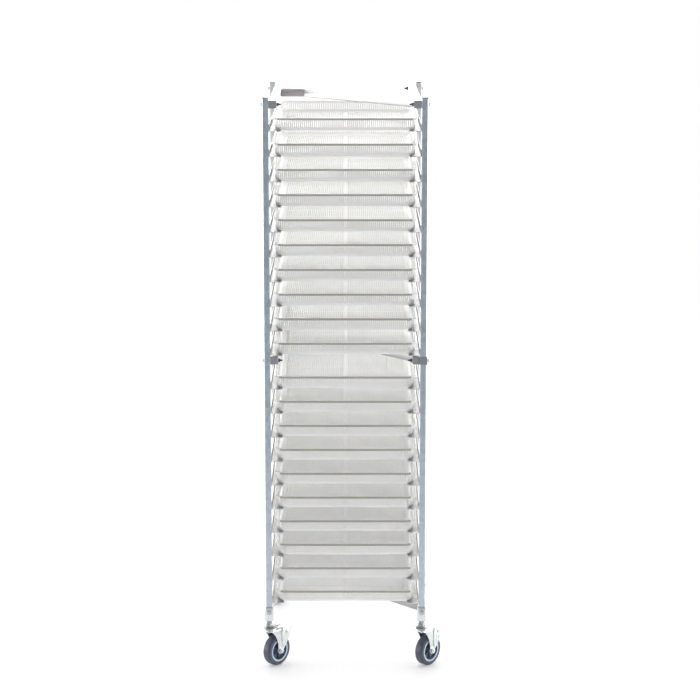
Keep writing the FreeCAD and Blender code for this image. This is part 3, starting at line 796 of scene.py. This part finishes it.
def fork_pressing(axle):
    """One folded sheet: two legs joined by the crown, with a round nose ahead of the stem."""
    bm = bmesh.new()
    outline = leg_outline(axle)
    rows = []
    for across in (-FORK_HALF, FORK_HALF):
        verts = [bm.verts.new((u, across, z)) for u, z in outline]
        bm.faces.new(verts)
        rows.append(verts)
    right, left = rows
    crown = bm.faces.new([right[0], right[-1], left[-1], left[0]])
    folds = [e for e in crown.edges if abs(e.verts[0].co.y - e.verts[1].co.y) < 0.01]
    nose_edge = next(e for e in crown.edges if all(v.co.x < 0 for v in e.verts))
    nose = bmesh.ops.extrude_edge_only(bm, edges=[nose_edge])["geom"]
    tips = [item for item in nose if isinstance(item, bmesh.types.BMVert)]
    bmesh.ops.translate(bm, vec=(-6, 0, 0), verts=tips)
    bmesh.ops.bevel(
        bm, geom=tips, offset=4.5, segments=4, profile=0.5, affect="VERTICES", material=-1
    )
    bmesh.ops.recalc_face_normals(bm, faces=bm.faces)
    soften(bm, 6.0, 5, folds)
    if crown_points_down(bm):
        bmesh.ops.reverse_faces(bm, faces=bm.faces)
    bmesh.ops.solidify(bm, geom=bm.faces[:], thickness=FORK_SHEET)
    bmesh.ops.recalc_face_normals(bm, faces=bm.faces)
    soften(bm, 0.4, 2, sharp_edges(bm, 60))
    return bm


def crown_points_down(bm):
    flat = max(bm.faces, key=lambda face: abs(face.normal.z) * face.calc_area())
    return flat.normal.z < 0


def make_fork(name, braked):
    axle = axle_centre(name)
    whole = fork_pressing(axle)
    race = [(19, 0), (21.5, 0.2), (21.8, 1.2), (20.6, 4.4), (19.8, 5), (7, 5), (6.6, 4), (6.6, 0)]
    join(whole, lathe(race, 48, closed=True), Matrix.Translation((0, 0, CROWN_TOP)))
    for across, length in ((FORK_HALF, 5), (-FORK_HALF, 6)):
        out = Y * math.copysign(1, across)
        seat = Vector((axle.x, across, axle.z))
        join(whole, hexagon(16, length, 1.2), along(seat, out))
    join(whole, thread(6, 8, 1.5), along(Vector((axle.x, -FORK_HALF, axle.z)), -Y))
    join(whole, disc(6, 2 * FORK_HALF, 0.4, 28), along(Vector((axle.x, -FORK_HALF, axle.z)), Y))
    if braked:
        pin = Vector((BRAKE_PIN[0], 0, BRAKE_PIN[1]))
        join(whole, disc(3, 46, 0.3, 20), along(pin - Y * 23, Y))
        for out in (Y, -Y):
            head = [(0, 2.2), (3.6, 1.9), (5.2, 0.9), (5.4, 0), (0, 0)]
            join(whole, lathe(head, 24), along(pin + out * 25, out))
    finish_piece(f"{name}_fork_pressing", whole, f"{name}_swivel", CASTER_ZINC,
                 [f"{name}_fork"], caster_place(name))


def rounded_profile(corners, radius, steps=6):
    """Closed (radius, height) profile whose listed corners, (point, round it or not), are arcs."""
    points = []
    count = len(corners)
    for index, (point, soft) in enumerate(corners):
        here = Vector(point)
        if not soft:
            points.append(tuple(here))
            continue
        before = (Vector(corners[index - 1][0]) - here).normalized()
        after = (Vector(corners[(index + 1) % count][0]) - here).normalized()
        first = here + before * radius
        last = here + after * radius
        centre = first + last - here
        for step in range(steps + 1):
            mix = math.radians(90 * step / steps)
            swing = (first - centre) * math.cos(mix)
            points.append(tuple(centre + swing + (last - centre) * math.sin(mix)))
    return points


def make_tyre(name):
    corners = [((HUB_R, -TYRE_HALF), False), ((WHEEL_R, -TYRE_HALF), True),
               ((WHEEL_R, TYRE_HALF), True), ((HUB_R, TYRE_HALF), False)]
    profile = rounded_profile(corners, TYRE_SHOULDER)
    crown = len(profile) // 2
    profile.insert(crown, (WHEEL_R, 0.0))
    tyre = lathe(profile, 96, closed=True)
    place = caster_place(name) @ along(axle_centre(name), Y)
    finish_piece(f"{name}_tread", tyre, f"{name}_wheel", TYRE_RUBBER,
                 [f"{name}_tyre"], place)


def make_hub(name):
    """Wheel centre: flanged rim, dished web with ribs, and a boss with a bearing shield; the web
    and ribs are painted dark as shade.
    """
    half = [(6.05, 16.3), (9.6, 16.3), (10.6, 15.5), (11.0, 13.5), (12.4, 5.0), (14, 4.0),
            (27, 4.0), (29.2, 5.0), (31.0, 13.0), (32.0, 14.6), (36.4, 15.2), (37.6, 14.6)]
    other = [(radius, -height) for radius, height in reversed(half)]
    hub = lathe(half + other, 64, closed=True)
    for face in (1, -1):
        for spoke in range(6):
            turn = Matrix.Rotation(math.radians(60 * spoke + 30 * (face < 0)), 3, "Z")
            start = turn @ Vector((11, 0, face * 6.5))
            end = turn @ Vector((31, 0, face * 6.5))
            bar(hub, start, end, turn @ Y, 2.2, 7.0)
    # The dished web and ribs take the dark second material: painted shade in the recess.
    for part in hub.faces:
        reach = part.calc_center_median().xy.length
        part.material_index = 1 if 10.5 < reach < 31.5 else 0
    place = caster_place(name) @ along(axle_centre(name), Y)
    finish_piece(f"{name}_wheel_centre", hub, f"{name}_wheel", HUB_PLASTIC,
                 [f"{name}_hub"], place, SHADED_DISH_PLASTIC)


def link_outline(centre, radius, tip, tip_radius, steps=10):
    """Outline of two round ends joined by their common tangents, in the wheel's plane."""
    run = Vector(tip) - Vector(centre)
    heading = math.atan2(run.y, run.x)
    spread_angle = math.acos((radius - tip_radius) / run.length)
    points = []
    wide = 2 * (math.pi - spread_angle)
    narrow = 2 * spread_angle
    for middle, r, start, sweep_angle in (
        (centre, radius, heading + spread_angle, wide),
        (tip, tip_radius, heading - spread_angle, narrow),
    ):
        for step in range(steps + 1):
            turn = start + sweep_angle * step / steps
            points.append((middle[0] + r * math.cos(turn), middle[1] + r * math.sin(turn)))
    return points


def make_brake(name):
    """Foot brake: side plates outside the fork, a cam over the tread and a pedal behind."""
    pin_u, pin_z = BRAKE_PIN
    axle = axle_centre(name)
    whole = bmesh.new()
    outline = link_outline((pin_u - 2, pin_z), 21, BRAKE_TIP, 8)
    for across in (FORK_HALF, -FORK_HALF - BRAKE_SHEET):
        side = plate([Vector((u, across, z)) for u, z in outline], Y * BRAKE_SHEET)
        soften(side, 0.5, 2, sharp_edges(side, 60))
        join(whole, side)
        boss_face = across + BRAKE_SHEET if across > 0 else across
        out = Y if across > 0 else -Y
        ring = [(8.5, 0), (8.2, 0.8), (7.0, 0.8), (6.6, 0.0)]
        join(whole, lathe(ring, 24, closed=True),
             along(Vector((pin_u - 4, boss_face, pin_z - 17)), out))
    to_wheel = axle - Vector((pin_u, 0, pin_z))
    lobe = to_wheel.length - WHEEL_R - 0.5 - 6
    cam = box_between((-12, -6, 0), (12, 6, lobe))
    join(cam, disc(6, 24, 0.6, 24), along(Vector((-12, 0, lobe)), X))
    join(whole, cam, along(Vector((pin_u, 0, pin_z)), to_wheel))
    join(whole, disc(6, 32, 0.6, 24), along(Vector((pin_u, -16, pin_z)), Y))
    pedal = [
        Vector((pin_u + 4, -11, pin_z)), Vector((pin_u + 13, -22.5, pin_z)),
        Vector((pin_u + 18, -22.5, pin_z)), Vector((pin_u + 22, -12, pin_z)),
        Vector((pin_u + 47.5, -12, pin_z)), Vector((pin_u + 47.5, 12, pin_z)),
        Vector((pin_u + 22, 12, pin_z)), Vector((pin_u + 18, 22.5, pin_z)),
        Vector((pin_u + 13, 22.5, pin_z)), Vector((pin_u + 4, 11, pin_z)),
    ]
    tread = plate(pedal, Z * BRAKE_SHEET, {3: 3.0, 4: 8.0, 5: 8.0, 6: 3.0})
    soften(tread, 0.7, 2, sharp_edges(tread, 60))
    for row in range(4):
        u = pin_u + 29 + 5 * row
        bar(tread, Vector((u, -8, pin_z + 2.6)), Vector((u, 8, pin_z + 2.6)), X, 1.6, 1.0)
    join(whole, tread)
    finish_piece(f"{name}_foot_brake", whole, f"{name}_brake", CASTER_ZINC,
                 [f"{name}_brake"], caster_place(name))


def make_stems():
    stems = bmesh.new()
    nuts = bmesh.new()
    races = bmesh.new()
    socket_z = stock("caster_sockets")[0].z
    nut_low, nut_high = (corner.z for corner in stock("stem_nuts"))
    for end in ENDS:
        for side in SIDES:
            place = caster_place(f"{end}_{side}")
            join(stems, disc(10, 4, 1.2, 28), place @ Matrix.Translation((0, 0, STEM_FLANGE_Z)))
            join(stems, thread(6, 42, 1.75), place @ Matrix.Translation((0, 0, STEM_THREAD_Z)))
            nut = hexagon(19, nut_high - nut_low, 1.3)
            join(nuts, nut, place @ Matrix.Translation((0, 0, nut_low)))
            race = [(6, 0), (19.4, 0), (20, 0.6), (20, 1.8), (18.6, 3), (6, 3)]
            join(races, lathe(race, 48, closed=True), place @ Matrix.Translation((0, 0, RACE_Z)))
            join(races, disc(13, 3, 0.5, 36, 6), place @ Matrix.Translation((0, 0, RACE_WASHER_Z)))
            collar = disc(8.5, socket_z - 3 - nut_high, 0.5, 32, 6)
            join(races, collar, place @ Matrix.Translation((0, 0, nut_high)))
            join(races, disc(13, 3, 0.5, 36, 6), place @ Matrix.Translation((0, 0, socket_z - 3)))
    finish_piece("caster_stem_threads", stems, "frame", STEM_ZINC, ["caster_stems"])
    finish_piece("stem_jam_nuts", nuts, "frame", STEM_ZINC, ["stem_nuts"])
    finish_piece("swivel_race_stacks", races, "frame", STEM_ZINC, ["swivel_races"])


def make_casters():
    for end in ENDS:
        for side in SIDES:
            name = f"{end}_{side}"
            make_fork(name, end == "front")
            make_tyre(name)
            make_hub(name)
            if end == "front":
                make_brake(name)


# ---------------------------------------------------------------- trays

tray_low, tray_high = stock("tray_01")
MOUTH_W = tray_high.x - tray_low.x - 2 * TRAY_LIP
MOUTH_D = tray_high.y - tray_low.y - 2 * TRAY_LIP
TRAY_TALL = tray_high.z - tray_low.z


def wall_lean(height):
    """How far out the wall's outer face stands from the mouth at a height above the foot."""
    return -TRAY_TAPER * (1 - height / TRAY_TALL)


def foot_turn(radius, steps=7):
    """Turn from wall to floor, below the slots, as (outward, height) points about its centre."""
    middle = wall_lean(TRAY_FOOT_R) - TRAY_FOOT_R
    turns = [math.radians(12 + 78 * step / steps) for step in range(steps + 1)]
    return [(middle + radius * math.cos(t), TRAY_FOOT_R - radius * math.sin(t)) for t in turns]


def corner_radius(outward):
    return MOUTH_R + max(outward, 0) + min(outward, 0) / 2


def rim_sweep(profile, steps=6):
    """Ring whose closed profile of (outward, height) points runs round the tray."""
    bm = bmesh.new()
    loops = []
    for outward, height in profile:
        face = round_face(bm, MOUTH_W + 2 * outward, MOUTH_D + 2 * outward, corner_radius(outward),
                          steps, height)
        loops.append(list(face.edges))
        bmesh.ops.delete(bm, geom=[face], context="FACES_ONLY")
    for first, second in zip(loops, loops[1:] + loops[:1]):
        bmesh.ops.bridge_loops(bm, edges=first + second)
    bmesh.ops.recalc_face_normals(bm, faces=bm.faces)
    return bm


def wall_point(direction, along_wall, height):
    """Point in the middle of the wall's thickness; direction is the wall's outward side."""
    inset = wall_lean(height) - WALL_SHEET / 2
    reach = (MOUTH_W if abs(direction.x) > 0.5 else MOUTH_D) / 2 + inset
    side = Vector((-direction.y, direction.x, 0))
    return direction * reach + side * along_wall + Z * height


def corner_point(sx, sy, turn, height):
    lean = wall_lean(height)
    radius = corner_radius(lean)
    centre = Vector((MOUTH_W / 2 + lean - radius, MOUTH_D / 2 + lean - radius, 0))
    reach = radius - WALL_SHEET / 2
    x = centre.x + reach * math.cos(turn)
    y = centre.y + reach * math.sin(turn)
    return Vector((sx * x, sy * y, height))


def wall_ribs(bm):
    """Upright ribs all round the tray, one mesh pitch apart."""
    low, high = TRAY_FOOT_R - 3.5, TRAY_TALL - 6.5
    for direction in (X, -X, Y, -Y):
        length = MOUTH_D if abs(direction.x) > 0.5 else MOUTH_W
        count = int((length / 2 - MOUTH_R) / MESH_PITCH)
        side = Vector((-direction.y, direction.x, 0))
        for index in range(-count, count + 1):
            place = index * MESH_PITCH
            foot = wall_point(direction, place, low)
            head = wall_point(direction, place, high)
            bar(bm, foot, head, side, RIB_WIDTH, RIB_DEPTH)
    for sx in (1, -1):
        for sy in (1, -1):
            for step in range(6):
                turn = math.radians(7.5 + 15 * step)
                side = Vector((-sx * math.sin(turn), sy * math.cos(turn), 0))
                foot = corner_point(sx, sy, turn, low)
                head = corner_point(sx, sy, turn, high)
                bar(bm, foot, head, side, RIB_WIDTH, RIB_DEPTH)


def floor_bars(bm):
    """Crossing bars of the floor: square openings one mesh pitch apart, and stouter tie bars."""
    half_x = MOUTH_W / 2 - TRAY_TAPER - TRAY_FOOT_R
    half_y = MOUTH_D / 2 - TRAY_TAPER - TRAY_FOOT_R
    for index in range(-int(half_x / MESH_PITCH), int(half_x / MESH_PITCH) + 1):
        x = index * MESH_PITCH
        bar(bm, Vector((x, -half_y, 1.5)), Vector((x, half_y, 1.5)), X, 2.3, 1.5)
    for index in range(-int(half_y / MESH_PITCH), int(half_y / MESH_PITCH) + 1):
        y = index * MESH_PITCH
        bar(bm, Vector((-half_x, y, 1.1)), Vector((half_x, y, 1.1)), Y, 2.3, 1.5)
    for y in (-half_y / 2, 0.0, half_y / 2):
        bar(bm, Vector((-half_x, y, 1.2)), Vector((half_x, y, 1.2)), Y, 8.0, 2.2)
    bar(bm, Vector((0, -half_y, 1.35)), Vector((0, half_y, 1.35)), X, 8.0, 2.3)


def basket():
    """One perforated tray, its floor on z = 0; the lip takes the second material, a darker plastic
    that is painted shade on the lip.
    """
    top = TRAY_TALL
    inside = wall_lean(top) - WALL_SHEET
    lip = [
        (wall_lean(SLOT_TOP) - WALL_SHEET, SLOT_TOP + 0.2), (inside, top - 1),
        (inside + 0.8, top - 0.2), (2, top), (4.4, top - 0.2), (5.5, top - 0.7), (6, top - 1.7),
        (6, top - 4.8), (5.6, top - 5.8), (4.8, top - 6), (4.2, top - 5.4), (4.2, top - 2.4),
        (0.4, top - 2.2), (wall_lean(SLOT_TOP), SLOT_TOP),
    ]
    outer = foot_turn(TRAY_FOOT_R)
    inner = foot_turn(TRAY_FOOT_R - WALL_SHEET)
    foot = outer + [(FLOOR_FRAME, 0.1), (FLOOR_FRAME, 2.1)] + inner[::-1]
    tray = rim_sweep(lip)
    # Faces out beyond the mouth, the lip, take the darker plastic: painted shade.
    for face in tray.faces:
        spot = face.calc_center_median()
        beyond = max(abs(spot.x) - MOUTH_W / 2, abs(spot.y) - MOUTH_D / 2)
        face.material_index = 1 if beyond > 0.5 else 0
    join(tray, rim_sweep(foot))
    wall_ribs(tray)
    floor_bars(tray)
    return tray


def make_trays():
    pattern = basket()
    for index in range(TRAY_COUNT):
        node = f"tray_{index + 1:02d}"
        low, high = stock(node)
        foot = Vector(((low.x + high.x) / 2, (low.y + high.y) / 2, low.z))
        finish_piece(f"{node}_basket", pattern.copy(), node, TRAY_PLASTIC, [node],
                     Matrix.Translation(foot), SHADED_LIP_PLASTIC)
    pattern.free()


# ---------------------------------------------------------------- studio


def make_floor():
    bm = bmesh.new()
    bmesh.ops.create_grid(bm, x_segments=1, y_segments=1, size=1.0)
    bmesh.ops.scale(bm, vec=(6.0, 4.2, 1), verts=bm.verts)
    bmesh.ops.translate(bm, vec=MIDDLE + Vector((0, 1.7, 0)), verts=bm.verts)
    mesh = bpy.data.meshes.new("studio_floor")
    bm.to_mesh(mesh)
    bm.free()
    material, tree, shader, where = new_material("studio_paper")
    grain = add_group(tree, GRAIN, {"Vector": where, "Scale": 60.0})
    colour = mix_colour(tree, grain.outputs["Cloud"], (0.94, 0.94, 0.94, 1), (0.96, 0.96, 0.96, 1))
    tree.links.new(colour, shader.inputs["Base Color"])
    shader.inputs["Roughness"].default_value = 0.7
    shader.inputs["Emission Color"].default_value = (1, 1, 1, 1)
    shader.inputs["Emission Strength"].default_value = 0.16
    mesh.materials.append(material)
    floor = bpy.data.objects.new("studio_floor", mesh)
    bpy.context.scene.collection.objects.link(floor)


def make_sky():
    """White studio, brightest from the sides and the back, with a dim side behind the camera."""
    world = bpy.data.worlds.new("studio_sky")
    bpy.context.scene.world = world
    world.use_nodes = True
    tree = world.node_tree
    tree.nodes.clear()
    way = add_node(tree, "ShaderNodeTexCoord")
    split = add_node(tree, "ShaderNodeSeparateXYZ", {0: way.outputs["Generated"]})
    toward_front = add_node(
        tree, "ShaderNodeMapRange", {"Value": split.outputs["Y"], 1: 0.0, 2: -0.55, 3: 0.0, 4: 1.0},
        interpolation_type="SMOOTHSTEP",
    )
    around = spread(tree, split.outputs["Z"], 7.5, 0.8, 0.12, 0.38)
    level = add_node(tree, "ShaderNodeMix", {0: toward_front.outputs[0], 2: around, 3: 0.42})
    rays = add_node(tree, "ShaderNodeLightPath")
    seen = {0: rays.outputs["Is Camera Ray"], 2: level.outputs[0], 3: 1.0}
    shown = add_node(tree, "ShaderNodeMix", seen)
    glow = {"Color": (1, 1, 1, 1), "Strength": shown.outputs[0]}
    light = add_node(tree, "ShaderNodeBackground", glow)
    output = add_node(tree, "ShaderNodeOutputWorld")
    tree.links.new(light.outputs[0], output.inputs["Surface"])


def add_softbox(name, place, target, size, power):
    data = bpy.data.lights.new(name, "AREA")
    data.shape = "RECTANGLE"
    data.size, data.size_y = size
    data.energy = power
    light = bpy.data.objects.new(name, data)
    light.location = MIDDLE + Vector(place)
    aim = Vector(target) - Vector(place)
    light.rotation_euler = aim.to_track_quat("-Z", "Y").to_euler()
    bpy.context.scene.collection.objects.link(light)


def make_studio():
    make_floor()
    make_sky()
    add_softbox("overhead_box", (0, 0.6, 4.2), (0, 0.2, 0), (3.4, 3.4), 20)
    bpy.context.scene.view_settings.view_transform = "Standard"


make_posts()
make_rails()
make_braces()
make_gussets()
make_plugs()
make_runners()
make_rivets()
make_rail_bolts()
make_clamp()
make_sockets()
make_stems()
make_casters()
make_trays()
make_studio()
